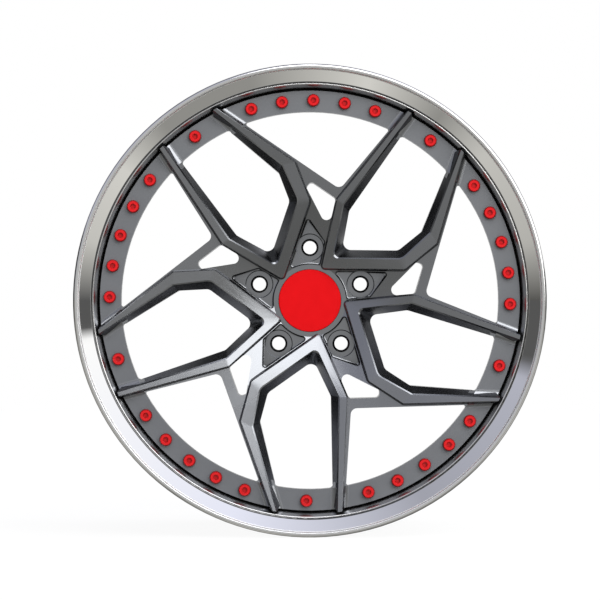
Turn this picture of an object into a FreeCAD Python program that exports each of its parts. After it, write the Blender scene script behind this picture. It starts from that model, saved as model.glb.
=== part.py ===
import FreeCAD, Part
import math
import os

# A three-piece forged road wheel in millimetres: a milled centre with five V-shaped double spokes,
# a polished outer rim half and an inner barrel, held together by a ring of thirty screws.
# It is drawn about the Z axis with the front at +Z and a V's axis along +Y, then turned so that the
# wheel spins about Y, with its front at -Y. The origin is the middle of the rim, on the axis.

# Rim: a 19 inch bead seat, 9.5 inches between the flanges
RIM_WIDTH = 241.3
BEAD_RADIUS = 243.7
BEAD_SEAT_WIDTH = 14.6
BEAD_TAPER = 5.0
HUMP_HEIGHT = 1.0
HUMP_WIDTH = 6.5
HUMP_FALL = 1.5
SEAT_WALL = 8.5
FLANGE_HEIGHT = 17.3
FLANGE_THICKNESS = 11.85
FLANGE_CORNER = 6.5
FLANGE_ROLL = 3.2
FLANGE_ROLL_WIDTH = 5.6
FLANGE_ROLL_STEP = 1.6
FLANGE_HEEL = 4.7

# Outer rim half: mirror wall round the bolt ring, then the lip's sloping face
LIP_WALL_HEIGHT = 10.0
LIP_WALL_SPREAD = 5.2
LIP_EDGE_WIDTH = 2.1
LIP_EDGE_HEIGHT = 1.4
LIP_EDGE_BULGE = 0.5
LIP_FACE_WIDTH = 12.4
LIP_FACE_HEIGHT = 10.6
RIM_FLANGE = 6.0
FLANGE_INSET = 3.75

# Inner barrel: shoulder behind the screws, drop centre, cone to the rear bead seat
BARREL_WALL = 5.0
BARREL_INSET = 7.2
BARREL_SHOULDER = 26.0
WELL_DEPTH = 13.0
WELL_RAMP = 9.0
WELL_WIDTH = 30.0
CONE_LENGTH = 62.0
CONE_RISE = 14.0
REAR_CORNER = (6.7, 0.2)
REAR_SHOULDER = (0.7, 9.0)
SEAL_SIZE = 4.0

# Hub: heights are above the mounting face, which stands in front of the rim's middle by the offset
OFFSET = 25.0
LUG_COUNT = 5
LUG_CIRCLE = 120.0
LUG_TURN = 37.0
LUG_HOLE_RADIUS = 7.5
LUG_CONE_RADIUS = 9.8
LUG_CONE_DEPTH = 4.0
LUG_SEAT_RADIUS = 15.8
LUG_SEAT_DRAFT = 1.0
LUG_SEAT_HEIGHT = 20.2
POCKET_HEIGHT = 22.5
HUB_HEIGHT = 28.5
HUB_RING_RADIUS = 40.8
PAD_RADIUS = 76.0
BACK_SHOULDER_RADIUS = 98.0
BACK_SHOULDER_HEIGHT = 11.0
HUB_BORE_RADIUS = 36.3
HUB_BORE_DEPTH = 11.0
BORE_CHAMFER = 1.7
CAP_HOOK_HEIGHT = 16.0
CAP_RELIEF_RADIUS = 34.2
CAP_THROAT_RADIUS = 32.0
CAP_RECESS_RADIUS = 35.6
CAP_RECESS_DEPTH = 3.5

# Bolt ring at the edge of the centre
RING_DEPTH = 25.5
RING_THICKNESS = 11.0
RING_GAP = 2.4
RING_WIDTH = 23.55
RING_STUB = 6.0
RING_CORNER = 5.0
ROOT_HEIGHT = 3.5
STEP_ROOT_WIDTH = 5.5
BEVEL_ROOT_WIDTH = 7.5
BEVEL_ROOT_START = 0.5

# Screws on a nine degree pitch; the arms of the spokes take the two places beside each single screw
SCREW_PITCH = 9.0
SCREW_PLACES = (0, 2, 3, 4, 5, 6)
SCREW_INSET = 10.8
SCREW_RADIUS = 4.0
SCREW_LENGTH = 35.0
SCREW_CLEARANCE = 0.25
SCREW_HEAD_RADIUS = 7.1
SCREW_HEAD_HEIGHT = 4.4
SCREW_RIM_HEIGHT = 1.3
SCREW_CROWN_RADIUS = 5.7
SCREW_DOME_BULGE = 0.35
SCREW_TIP_CHAMFER = 0.6
SOCKET_WIDTH = 5.0
SOCKET_DEPTH = 2.6
SOCKET_CHAMFER = 0.8
WASHER_RADIUS = 7.4
WASHER_THICKNESS = 1.6
NUT_WIDTH = 13.0
NUT_HEIGHT = 6.5
NUT_FACE_RADIUS = 6.1
NUT_CHAMFER_ANGLE = 30.0
THREAD_CLEARANCE = 0.02

# Spokes: top heights, section and plan
SPOKE_COUNT = 5
SPOKE_AXIS = 53.0
SPOKE_RISE = 11.5
SPOKE_END_CLEARANCE = 5.5
KNEE_RADIUS = 117.0
KNEE_DROP = 28.5
KNEE_THICKNESS = 38.0
ARM_BACK_RADIUS = 207.0
ARM_THICKNESS = 24.0
BACK_RIB = 0.8
APEX_BOTTOM = 15.0
STEP_HEIGHT = 5.0
STEP_DRAFT = 1.9
EDGE_BREAK = 0.8
BEVEL_DROPS = (12.0, 15.0, 12.0, 11.0)
BEVEL_END_HEIGHT = 6.0
WEB_OVERLAP = 1.0
# Corners are x, y and the radius that rounds them; the first and last only give the arms' directions
CREASE = ((-39.8, 234.2, 0), (-43.9, 107.6, 4.5), (-11.1, 37.3, 2.8),
          (64.0, 90.9, 7.2), (75.1, 135.6, 3.9), (38.1, 232.0, 0))
LAND_EDGE = ((-34.2, 234.2, 0), (-34.6, 108.2, 6.7), (-8.2, 53.9, 5.6),
             (54.0, 99.0, 13.4), (61.4, 141.2, 3.3), (32.6, 233.1, 0))
WINDOW = ((-28.8, 207.0, 0), (-25.4, 106.9, 9.0), (-5.5, 67.5, 7.6),
          (45.3, 104.3, 11.2), (53.3, 136.6, 3.9), (34.4, 206.5, 0))

# Lower web between the spokes: its edges beside the arms, the brace hole and the lug pocket
WEB_LEFT_EDGE = ((-43.8, 202.9), (-47.7, 127.1))
WEB_RIGHT_EDGE = ((52.7, 202.4), (95.4, 91.5))
WEB_CORNER = 7.3
WEB_RING_CORNER = 2.2
BRACE_HOLE = ((-79.4, 107.1, 4.5), (-45.7, 108.7, 3.9), (-30.6, 75.2, 6.2), (-79.4, 98.6, 3.4))
POCKET_EDGE = 52.4
POCKET_CORNER = 3.4
POCKET_FLOOR_ROUND = 2.6
POCKET_CLEARANCE = 0.4

# Tyre valve, through the ramp of the drop centre behind an arm
VALVE_TURN = 9.0
VALVE_RADIUS = 3.9
VALVE_HOLE_RADIUS = 4.2
VALVE_LENGTH = 22.0
VALVE_BORE_RADIUS = 2.2
VALVE_HEAD_RADIUS = 6.6
VALVE_HEAD_HEIGHT = 3.0
VALVE_SEAL_RADIUS = 7.0
VALVE_SEAL_HEIGHT = 2.5
VALVE_SPOT_RADIUS = 7.5
VALVE_SPOT_DEPTH = 0.4
VALVE_NUT_WIDTH = 12.0
VALVE_NUT_HEIGHT = 4.5
VALVE_CORE_LENGTH = 17.0
VALVE_CORE_SINK = 0.6
VALVE_PIN_LENGTH = 3.0
VALVE_PIN_RADIUS = 0.7
VALVE_CAP_WALL = 0.7
VALVE_CAP_HEIGHT = 8.5
VALVE_CAP_TOP = 1.2
VALVE_CAP_CHAMFER = 1.0

# Centre cap
CAP_CLEARANCE = 0.3
CAP_PLATE = 3.0
CAP_EDGE = 1.2
CAP_SKIRT_WALL = 1.8
CAP_CLIP_COUNT = 8
CAP_CLIP_GAP = 9.0
CAP_CLIP_ROOT = 3.0
CAP_BARB = 0.9
CAP_BARB_HEIGHT = 2.4
CAP_BARB_EDGE = 0.6
SPRING_WIRE_RADIUS = 0.8
SPRING_CLEARANCE = 0.05

# Worked out from the values above
FRONT = RIM_WIDTH / 2 + FLANGE_THICKNESS
FLANGE_RADIUS = BEAD_RADIUS + FLANGE_HEIGHT
POCKET_RADIUS = BEAD_RADIUS - SEAT_WALL
RING_RADIUS = POCKET_RADIUS - RING_GAP
RING_INNER = RING_RADIUS - RING_WIDTH
RING_FRONT = FRONT - RING_DEPTH
RING_BACK = RING_FRONT - RING_THICKNESS
SEAM = RING_BACK - RIM_FLANGE
STACK_BACK = SEAM - RIM_FLANGE
FLANGE_INNER = RING_INNER + FLANGE_INSET
SCREW_CIRCLE = RING_RADIUS - SCREW_INSET
HUB_FRONT = OFFSET + HUB_HEIGHT
CAP_SEAT = HUB_FRONT - CAP_RECESS_DEPTH
SPOKE_END_TOP = RING_FRONT + SPOKE_RISE
KNEE_TOP = SPOKE_END_TOP - KNEE_DROP
KNEE_BACK = KNEE_TOP - KNEE_THICKNESS
WEB_KNEE = KNEE_TOP - STEP_HEIGHT
APEX_RADIUS = math.hypot(CREASE[2][0], CREASE[2][1])
APEX_TOP = HUB_FRONT + STEP_HEIGHT
SPOKE_PITCH = 360 / SPOKE_COUNT
ARM_REACH = FLANGE_RADIUS
BELOW = -FRONT
ABOVE = 2 * FRONT
TOLERANCE = 0.01
ORIGIN = FreeCAD.Vector(0, 0, 0)
AXIS = FreeCAD.Vector(0, 0, 1)


def height_on_line(radius, start, end):
    """Height at a radius on the straight line through two (radius, height) points."""
    return start[1] + (radius - start[0]) * (end[1] - start[1]) / (end[0] - start[0])


def top_height(radius):
    """Height of the spokes' top face: steep near the hub, shallower past the knee."""
    knee = (KNEE_RADIUS, KNEE_TOP)
    if radius < KNEE_RADIUS:
        return height_on_line(radius, (APEX_RADIUS, APEX_TOP), knee)
    return height_on_line(radius, knee, (POCKET_RADIUS, SPOKE_END_TOP))


def back_height(radius):
    """Height of the arms' back, outside the hub."""
    end = (ARM_BACK_RADIUS, top_height(ARM_BACK_RADIUS) - ARM_THICKNESS)
    return height_on_line(radius, (KNEE_RADIUS, KNEE_BACK), end)


def web_height(radius):
    """Height of the lower web's face between the knee and the bolt ring."""
    return height_on_line(radius, (KNEE_RADIUS, WEB_KNEE), (RING_INNER, RING_FRONT))


def turned(shape, degrees):
    """A copy of a shape turned about the wheel's axis."""
    copy = shape.copy()
    copy.rotate(ORIGIN, AXIS, degrees)
    return copy


def around(shape, count, first=0.0):
    """Copies of a shape spread evenly about the wheel's axis."""
    return [turned(shape, first + 360 / count * index) for index in range(count)]


def drum(radius, low, high):
    """An upright cylinder on the axis between two heights."""
    return Part.makeCylinder(radius, high - low, FreeCAD.Vector(0, 0, low))


def hex_prism(width, low, high):
    """An upright hexagonal prism on the axis, measured across its flats."""
    reach = width / 2 / math.cos(math.radians(30))
    corners = [FreeCAD.Vector(reach, 0, low)]
    for index in range(1, 7):
        angle = math.radians(60 * index)
        corners.append(FreeCAD.Vector(reach * math.cos(angle), reach * math.sin(angle), low))
    return Part.Face(Part.makePolygon(corners)).extrude(AXIS * (high - low))


def profile_point(point):
    """A (radius, height) point in the plane that profiles are drawn in."""
    return FreeCAD.Vector(point[0], 0, point[1])


def revolved(profile):
    """A solid of revolution from (radius, height) corners; a pair of points is an arc's middle and end."""
    edges = []
    start = profile[0]
    for step in profile[1:] + profile[:1]:
        if isinstance(step[0], tuple):
            middle, end = step
            edges.append(Part.Arc(profile_point(start), profile_point(middle), profile_point(end)).toShape())
        else:
            end = step
            edges.append(Part.makeLine(profile_point(start), profile_point(end)))
        start = end
    solid = Part.Face(Part.Wire(edges)).revolve(ORIGIN, AXIS, 360)
    if solid.Volume < 0:
        solid.reverse()
    return solid


def arc_to(start, end, rise):
    """An arc step of a profile, bulging to the right of its chord by a rise."""
    across = end[0] - start[0]
    up = end[1] - start[1]
    share = rise / math.hypot(across, up)
    return ((start[0] + end[0]) / 2 + up * share, (start[1] + end[1]) / 2 - across * share), end


def offset_path(path, distance):
    """The corners of an open path moved sideways, to the right of its direction, by a distance."""
    places = [FreeCAD.Vector(corner[0], corner[1], 0) for corner in path]
    sides = []
    for start, end in zip(places, places[1:]):
        along = (end - start).normalize()
        sides.append(FreeCAD.Vector(along.y, -along.x, 0))
    shifts = [sides[0]]
    for before, after in zip(sides, sides[1:]):
        shifts.append((before + after) * (1 / (1 + before.dot(after))))
    shifts.append(sides[-1])
    return [(p.x + s.x * distance, p.y + s.y * distance) for p, s in zip(places, shifts)]


def reach_out(path):
    """A V's path with both ends carried along the arms to one plane outside the bolt ring."""
    ends = []
    for inner, outer in ((path[1], path[0]), (path[-2], path[-1])):
        share = (ARM_REACH - inner[1]) / (outer[1] - inner[1])
        ends.append((inner[0] + (outer[0] - inner[0]) * share, ARM_REACH))
    return [ends[0]] + [corner[:2] for corner in path[1:-1]] + [ends[1]]


def corner_radii(path):
    """The radii that round a V's path at its corners."""
    return [corner[2] for corner in path[1:-1]]


def rounded_corner(before, corner, after, radius):
    """Start, middle and end of the arc that rounds a corner between two lines in space."""
    back = (before - corner).normalize()
    ahead = (after - corner).normalize()
    half = back.getAngle(ahead) / 2
    bisector = (back + ahead).normalize()
    reach = radius / math.tan(half)
    middle = corner + bisector * (radius / math.sin(half) - radius)
    return corner + back * reach, middle, corner + ahead * reach


def rounded_path(points, radii):
    """Lines and tangent arcs along an open path in space."""
    edges = []
    start = points[0]
    for before, corner, after, radius in zip(points, points[1:], points[2:], radii):
        first, middle, last = rounded_corner(before, corner, after, radius)
        edges.append(Part.makeLine(start, first))
        edges.append(Part.Arc(first, middle, last).toShape())
        start = last
    edges.append(Part.makeLine(start, points[-1]))
    return edges


def rounded_prism(corners, low, high):
    """An upright prism on a closed outline of x, y, radius corners; a radius of 0 keeps a sharp corner."""
    points = [FreeCAD.Vector(corner[0], corner[1], low) for corner in corners]
    arcs = []
    for index, corner in enumerate(corners):
        point, after = points[index], points[(index + 1) % len(points)]
        if corner[2] > 0:
            arcs.append(rounded_corner(points[index - 1], point, after, corner[2]))
        else:
            arcs.append((point, point, point))
    edges = []
    for arc, following in zip(arcs, arcs[1:] + arcs[:1]):
        first, middle, last = arc
        if first != last:
            edges.append(Part.Arc(first, middle, last).toShape())
        edges.append(Part.makeLine(last, following[0]))
    return Part.Face(Part.Wire(edges)).extrude(AXIS * (high - low))


def line_meeting(first, second):
    """The point where two lines cross, each given by two (x, y) points."""
    (x1, y1), (x2, y2) = first
    (x3, y3), (x4, y4) = second
    cross = (x2 - x1) * (y4 - y3) - (y2 - y1) * (x4 - x3)
    share = ((x3 - x1) * (y4 - y3) - (y3 - y1) * (x4 - x3)) / cross
    return (x1 + share * (x2 - x1), y1 + share * (y2 - y1))


def turned_point(point, degrees):
    """A point in plan turned about the axis."""
    angle = math.radians(degrees)
    x = point[0] * math.cos(angle) - point[1] * math.sin(angle)
    y = point[0] * math.sin(angle) + point[1] * math.cos(angle)
    return (x, y)


def radii_of(path):
    """Distance of each corner of a path from the wheel's axis."""
    return [math.hypot(corner[0], corner[1]) for corner in path]


def spoke_rails():
    """The long edges of one V in order around its section, each as lines and arcs in space."""
    crease = reach_out(CREASE)
    land = reach_out(LAND_EDGE)
    window = reach_out(WINDOW)
    outer_foot = reach_out(offset_path(crease, STEP_DRAFT))
    crease_top = [top_height(radius) for radius in radii_of(crease)]
    land_top = [top_height(radius) for radius in radii_of(land)]
    step_foot = [height - STEP_HEIGHT - BACK_RIB for height in crease_top]
    bevel_end = RING_FRONT + BEVEL_END_HEIGHT
    bevel_foot = [bevel_end] + [top - drop for top, drop in zip(land_top[1:], BEVEL_DROPS)] + [bevel_end]
    bottoms = []
    for path in (outer_foot, window):
        heights = [back_height(radius) - BACK_RIB for radius in radii_of(path)]
        heights[2] = OFFSET + APEX_BOTTOM
        bottoms.append(heights)
    bevel_start = []
    bevel_top = []
    for corner, below, top, foot in zip(land, window, land_top, bevel_foot):
        across = (below[0] - corner[0], below[1] - corner[1])
        share = EDGE_BREAK / math.hypot(*across)
        bevel_start.append((corner[0] + across[0] * share, corner[1] + across[1] * share))
        bevel_top.append(top + (foot - top) * share)
    foot_radii = [radius + STEP_DRAFT for radius in corner_radii(CREASE)]
    rails = (
        (outer_foot, bottoms[0], foot_radii),
        (outer_foot, step_foot, foot_radii),
        (crease, [height - EDGE_BREAK for height in crease_top], corner_radii(CREASE)),
        (reach_out(offset_path(crease, -EDGE_BREAK)), crease_top, corner_radii(CREASE)),
        (reach_out(offset_path(land, EDGE_BREAK)), land_top, corner_radii(LAND_EDGE)),
        (bevel_start, bevel_top, corner_radii(LAND_EDGE)),
        (window, bevel_foot, corner_radii(WINDOW)),
        (window, bottoms[1], corner_radii(WINDOW)),
    )
    edges = []
    for path, heights, radii in rails:
        points = [FreeCAD.Vector(corner[0], corner[1], height) for corner, height in zip(path, heights)]
        edges.append(rounded_path(points, radii))
    return edges


def spoke_body():
    """One raised V: ruled strips between neighbouring rails, closed by a flat face at each end."""
    rails = spoke_rails()
    faces = []
    for first, second in zip(rails, rails[1:] + rails[:1]):
        faces += [Part.makeRuledSurface(a, b) for a, b in zip(first, second)]
    for edge, end in ((0, 0), (-1, 1)):
        corners = [rail[edge].Vertexes[end].Point for rail in rails]
        faces.append(Part.Face(Part.makePolygon(corners + corners[:1])))
    shell = Part.Shell(faces)
    shell.sewShape()
    solid = Part.Solid(shell)
    if solid.Volume < 0:
        solid.reverse()
    return solid


def spoke_limits():
    """Where the arms may be: free inside the bolt ring, sunk in it where they cross, clear of the lip."""
    inside = RING_INNER - RING_STUB / 2
    sunk = (RING_BACK + RING_FRONT) / 2
    lean = LIP_WALL_SPREAD / LIP_WALL_HEIGHT
    foot = POCKET_RADIUS + lean * (sunk - RING_FRONT) - SPOKE_END_CLEARANCE
    tip = POCKET_RADIUS + lean * (ABOVE - RING_FRONT) - SPOKE_END_CLEARANCE
    return revolved([(0, BELOW), (inside, BELOW), (inside, sunk), (foot, sunk), (tip, ABOVE), (0, ABOVE)])


def ended_at_ring(block, corner_radius):
    """A window cutter ended at the bolt ring's inner circle, with its upright edges there rounded."""
    trimmed = block.common(drum(RING_INNER, BELOW, ABOVE))
    upright = []
    for edge in trimmed.Edges:
        ends = [vertex.Point for vertex in edge.Vertexes]
        on_ring = all(abs(math.hypot(p.x, p.y) - RING_INNER) < TOLERANCE for p in ends)
        if on_ring and abs(ends[0].z - ends[-1].z) > RING_THICKNESS:
            upright.append(edge)
    return trimmed.makeFillet(corner_radius, upright)


def spoke_window(path, spread):
    """An upright cutter for the window inside one V, its outline moved into the arms by a distance."""
    moved = offset_path(reach_out(path), spread)
    corners = [(x, y, corner[2]) for (x, y), corner in zip(moved, path)]
    return ended_at_ring(rounded_prism(corners, BELOW, ABOVE), RING_CORNER)


def outer_window():
    """An upright cutter for the window between one V's right arm and the next V's left arm."""
    left = [turned_point(point, -SPOKE_PITCH) for point in WEB_LEFT_EDGE]
    corner = line_meeting(WEB_RIGHT_EDGE, left)
    ends = []
    for outer, _ in (WEB_RIGHT_EDGE, left):
        along = (outer[0] - corner[0], outer[1] - corner[1])
        share = 2 * ARM_REACH / math.hypot(*along)
        ends.append((corner[0] + along[0] * share, corner[1] + along[1] * share, 0))
    block = rounded_prism([ends[0], (*corner, WEB_CORNER), ends[1]], BELOW, ABOVE)
    return ended_at_ring(block, WEB_RING_CORNER)


def lug_pocket():
    """An upright cutter for the sunk floor round one lug hole, between two Vs, the web and the hub ring."""
    crease = offset_path(CREASE, STEP_DRAFT + POCKET_CLEARANCE)
    upper = (crease[2], crease[3])
    lower = [turned_point(point, -SPOKE_PITCH) for point in crease[1:3]]
    side = ((POCKET_EDGE, 0), (POCKET_EDGE, 1))
    corners = (upper[0], line_meeting(upper, side), line_meeting(lower, side), lower[1])
    floor = OFFSET + POCKET_HEIGHT
    block = rounded_prism([(x, y, 0) for x, y in corners], floor, ABOVE)
    block = block.cut(drum(HUB_RING_RADIUS, BELOW, ABOVE))
    upright = [edge for edge in block.Edges if edge.BoundBox.ZLength > STEP_HEIGHT]
    block = block.makeFillet(POCKET_CORNER, upright)
    low = [edge for edge in block.Edges if edge.BoundBox.ZMax < floor + TOLERANCE]
    return block.makeFillet(POCKET_FLOOR_ROUND, low)


def lug_hole():
    """A cutter for one lug hole: through hole, conical seat and the flat round it with its sloping edge."""
    seat = OFFSET + LUG_SEAT_HEIGHT
    floor = OFFSET + POCKET_HEIGHT
    top = floor + POCKET_FLOOR_ROUND
    tool = revolved([(0, BELOW), (LUG_HOLE_RADIUS, BELOW), (LUG_HOLE_RADIUS, seat - LUG_CONE_DEPTH),
                     (LUG_CONE_RADIUS, seat), (LUG_SEAT_RADIUS - LUG_SEAT_DRAFT, seat),
                     (LUG_SEAT_RADIUS, floor), (LUG_SEAT_RADIUS, top), (0, top)])
    tool.translate(FreeCAD.Vector(0, LUG_CIRCLE / 2, 0))
    return tool


def arm_roots(path, side, width):
    """Concave roots, running out flat on the bolt ring, on one side of a path along both arms of a V."""
    radius = (width ** 2 + ROOT_HEIGHT ** 2) / (2 * ROOT_HEIGHT)
    half = math.asin(width / radius) / 2
    ends = reach_out(path)
    roots = []
    for inner, outer, hand in ((ends[1], ends[0], -side), (ends[-2], ends[-1], side)):
        along = FreeCAD.Vector(outer[0] - inner[0], outer[1] - inner[1], 0).normalize()
        side_way = FreeCAD.Vector(along.y, -along.x, 0) * hand
        length = 2 * (ARM_REACH - RING_INNER)
        start = FreeCAD.Vector(outer[0], outer[1], RING_FRONT) - along * length
        toe = start + side_way * width
        top = start + AXIS * ROOT_HEIGHT
        middle = toe - side_way * (radius * math.sin(half)) + AXIS * (radius * (1 - math.cos(half)))
        back = top - side_way * (width / 2)
        sunk = AXIS * ROOT_HEIGHT
        buried = Part.makePolygon([top, back, back - sunk * 2, toe - sunk, toe])
        edges = [Part.Arc(toe, middle, top).toShape()] + buried.Edges
        roots.append(Part.Face(Part.Wire(edges)).extrude(along * length))
    return roots


def centre_dish():
    """Hub and dished web as one turned blank, without the bolt ring."""
    edge = RING_INNER - RING_STUB / 2
    return revolved([
        (CAP_RECESS_RADIUS, HUB_FRONT), (HUB_RING_RADIUS, HUB_FRONT), (KNEE_RADIUS, WEB_KNEE),
        (edge, web_height(edge)), (edge, back_height(edge)), (KNEE_RADIUS, KNEE_BACK),
        (BACK_SHOULDER_RADIUS, OFFSET + BACK_SHOULDER_HEIGHT), (PAD_RADIUS, OFFSET),
        (HUB_BORE_RADIUS + BORE_CHAMFER, OFFSET), (HUB_BORE_RADIUS, OFFSET + BORE_CHAMFER),
        (HUB_BORE_RADIUS, OFFSET + HUB_BORE_DEPTH), (CAP_RELIEF_RADIUS, OFFSET + HUB_BORE_DEPTH),
        (CAP_RELIEF_RADIUS, OFFSET + CAP_HOOK_HEIGHT), (CAP_THROAT_RADIUS, OFFSET + CAP_HOOK_HEIGHT),
        (CAP_THROAT_RADIUS, CAP_SEAT), (CAP_RECESS_RADIUS, CAP_SEAT)])


def bolt_ring():
    """The flat ring that carries the screws, with short stubs inwards under the arms."""
    edge = RING_INNER - RING_STUB
    ring = revolved([(edge, RING_BACK), (edge, web_height(edge)), (RING_INNER, RING_FRONT),
                     (RING_RADIUS, RING_FRONT), (RING_RADIUS, RING_BACK)])
    return ring.cut(around(spoke_window(WINDOW, WEB_OVERLAP / 2), SPOKE_COUNT))


def at_screws(shape):
    """Copies of a shape, drawn on the axis, at every screw of the bolt ring."""
    moved = shape.copy()
    moved.translate(FreeCAD.Vector(0, SCREW_CIRCLE, 0))
    copies = []
    for spoke in range(SPOKE_COUNT):
        copies += [turned(moved, SPOKE_PITCH * spoke + SCREW_PITCH * place) for place in SCREW_PLACES]
    return copies


def screw_holes():
    """Cutters for the screw holes through the whole stack."""
    return at_screws(drum(SCREW_RADIUS + SCREW_CLEARANCE, STACK_BACK - RIM_FLANGE, RING_FRONT + RIM_FLANGE))


def make_centre():
    """The forged centre: dish, ring and raised Vs joined, then every opening cut through."""
    dish = centre_dish().cut(around(spoke_window(LAND_EDGE, WEB_OVERLAP), SPOKE_COUNT))
    over_ring = drum(RING_RADIUS, RING_BACK, ABOVE).cut(drum(RING_INNER, RING_BACK, ABOVE))
    roots = arm_roots(offset_path(CREASE, STEP_DRAFT / 2), 1, STEP_ROOT_WIDTH)
    roots += arm_roots(offset_path(LAND_EDGE, -BEVEL_ROOT_START), -1, BEVEL_ROOT_WIDTH)
    raised = [spoke_body().common(spoke_limits())] + [root.common(over_ring) for root in roots]
    body = dish.fuse([bolt_ring()] + [copy for piece in raised for copy in around(piece, SPOKE_COUNT)])
    openings = around(outer_window(), SPOKE_COUNT)
    openings += around(rounded_prism(BRACE_HOLE, BELOW, ABOVE), SPOKE_COUNT)
    openings += around(lug_pocket(), SPOKE_COUNT)
    openings += around(lug_hole(), LUG_COUNT, LUG_TURN)
    return body.cut(openings + screw_holes())


def flange_profile():
    """A rim edge from the wheel's inside over the rolled flange and down the bead seat to the hump."""
    face = RIM_WIDTH / 2
    crest = FLANGE_RADIUS - FLANGE_ROLL
    start = FLANGE_RADIUS - FLANGE_ROLL_WIDTH
    brow = start + FLANGE_ROLL_STEP
    roll = FLANGE_ROLL * math.sqrt(0.5)
    step = FLANGE_ROLL_STEP * math.sqrt(0.5)
    heel = face - FLANGE_CORNER
    bend = FLANGE_CORNER * (1 - math.sqrt(0.5))
    toe = heel - BEAD_SEAT_WIDTH
    toe_radius = BEAD_RADIUS - BEAD_SEAT_WIDTH * math.tan(math.radians(BEAD_TAPER))
    outer_bend = FLANGE_HEEL * (1 - math.sqrt(0.5))
    return [
        (start, FRONT - FLANGE_ROLL_STEP),
        ((brow - step, FRONT - FLANGE_ROLL_STEP + step), (brow, FRONT)),
        (crest, FRONT),
        ((crest + roll, FRONT - FLANGE_ROLL + roll), (FLANGE_RADIUS, FRONT - FLANGE_ROLL)),
        (FLANGE_RADIUS, face + FLANGE_HEEL),
        ((FLANGE_RADIUS - outer_bend, face + outer_bend), (FLANGE_RADIUS - FLANGE_HEEL, face)),
        (BEAD_RADIUS + FLANGE_CORNER, face),
        ((BEAD_RADIUS + bend, face - bend), (BEAD_RADIUS, heel)),
        (toe_radius, toe),
        ((toe_radius + HUMP_HEIGHT, toe - HUMP_WIDTH / 2), (toe_radius - HUMP_FALL, toe - HUMP_WIDTH)),
    ]


def mirrored(profile):
    """A profile turned front to back."""
    steps = []
    for step in profile:
        if isinstance(step[0], tuple):
            steps.append(tuple((radius, -height) for radius, height in step))
        else:
            steps.append((step[0], -step[1]))
    return steps


def make_lip():
    """The outer rim half: mirror wall and polished face inside, bead seat outside, bolting flange behind."""
    wall = (POCKET_RADIUS + LIP_WALL_SPREAD, RING_FRONT + LIP_WALL_HEIGHT)
    face = (wall[0] + LIP_EDGE_WIDTH, wall[1] + LIP_EDGE_HEIGHT)
    flange = flange_profile()
    hump_end = flange[-1][1]
    rim = revolved([(FLANGE_INNER, RING_BACK), (POCKET_RADIUS, RING_BACK), (POCKET_RADIUS, RING_FRONT), wall,
                    arc_to(wall, face, -LIP_EDGE_BULGE),
                    (face[0] + LIP_FACE_WIDTH, face[1] + LIP_FACE_HEIGHT)]
                   + flange + [(hump_end[0], SEAM), (FLANGE_INNER, SEAM)])
    return rim.cut(screw_holes())


def barrel_inside():
    """The barrel's inner wall from behind the screws, down the ramp of the drop centre, to its rear cone."""
    shoulder = BEAD_RADIUS - BARREL_INSET - BARREL_WALL
    ramp = STACK_BACK - BARREL_SHOULDER
    well = shoulder - WELL_DEPTH
    rear = ramp - WELL_RAMP - WELL_WIDTH
    return [(shoulder, STACK_BACK), (shoulder, ramp), (well, ramp - WELL_RAMP), (well, rear),
            (well + CONE_RISE, rear - CONE_LENGTH)]


def make_barrel():
    """The inner rim half: bolting flange, drop centre, rear bead seat and flange."""
    inside = barrel_inside()
    outside = offset_path(inside, -BARREL_WALL)
    flange = mirrored(flange_profile())
    toe = flange[8]
    heel = flange[7][1]
    rear = [(POCKET_RADIUS, toe[1]), (heel[0] - REAR_CORNER[0], heel[1] + REAR_CORNER[1]),
            (heel[0] - REAR_SHOULDER[0], heel[1] - REAR_SHOULDER[1])]
    front = (outside[0][0], SEAM)
    rim = revolved([front, (FLANGE_INNER, SEAM), (FLANGE_INNER, STACK_BACK)] + inside + rear + flange
                   + outside[:0:-1])
    air_side = VALVE_SPOT_DEPTH - BARREL_WALL
    tools = [drum(VALVE_HOLE_RADIUS, -2 * BARREL_WALL, 2 * BARREL_WALL),
             drum(VALVE_SPOT_RADIUS, -VALVE_SPOT_DEPTH, VALVE_NUT_HEIGHT),
             drum(VALVE_SPOT_RADIUS, air_side - VALVE_SEAL_HEIGHT, air_side)]
    return rim.cut(screw_holes() + [valve_placed(tool) for tool in tools])


def make_seal():
    """The sealing bead smoothed off flat in the corner between the two rim halves, on the air side."""
    inner = barrel_inside()[0][0] + BARREL_WALL
    return revolved([(inner, SEAM), (inner + SEAL_SIZE, SEAM), (inner, SEAM - SEAL_SIZE)])


def make_screws():
    """Domed socket-head screws through the whole stack."""
    shoulder = (SCREW_HEAD_RADIUS, SCREW_RIM_HEIGHT)
    crown = (SCREW_CROWN_RADIUS, SCREW_HEAD_HEIGHT)
    screw = revolved([(0, -SCREW_LENGTH), (SCREW_RADIUS - SCREW_TIP_CHAMFER, -SCREW_LENGTH),
                      (SCREW_RADIUS, SCREW_TIP_CHAMFER - SCREW_LENGTH), (SCREW_RADIUS, 0),
                      (SCREW_HEAD_RADIUS, 0), shoulder, arc_to(shoulder, crown, SCREW_DOME_BULGE),
                      (0, SCREW_HEAD_HEIGHT)])
    floor = SCREW_HEAD_HEIGHT - SOCKET_DEPTH
    mouth = SCREW_HEAD_HEIGHT - SOCKET_CHAMFER
    chamfer = revolved([(0, mouth), (SOCKET_WIDTH / 2, mouth),
                        (SOCKET_WIDTH / 2 + SOCKET_CHAMFER, SCREW_HEAD_HEIGHT), (0, SCREW_HEAD_HEIGHT)])
    screw = screw.cut([hex_prism(SOCKET_WIDTH, floor, SCREW_HEAD_HEIGHT), chamfer])
    screw.translate(AXIS * RING_FRONT)
    return Part.makeCompound(at_screws(screw))


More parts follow.
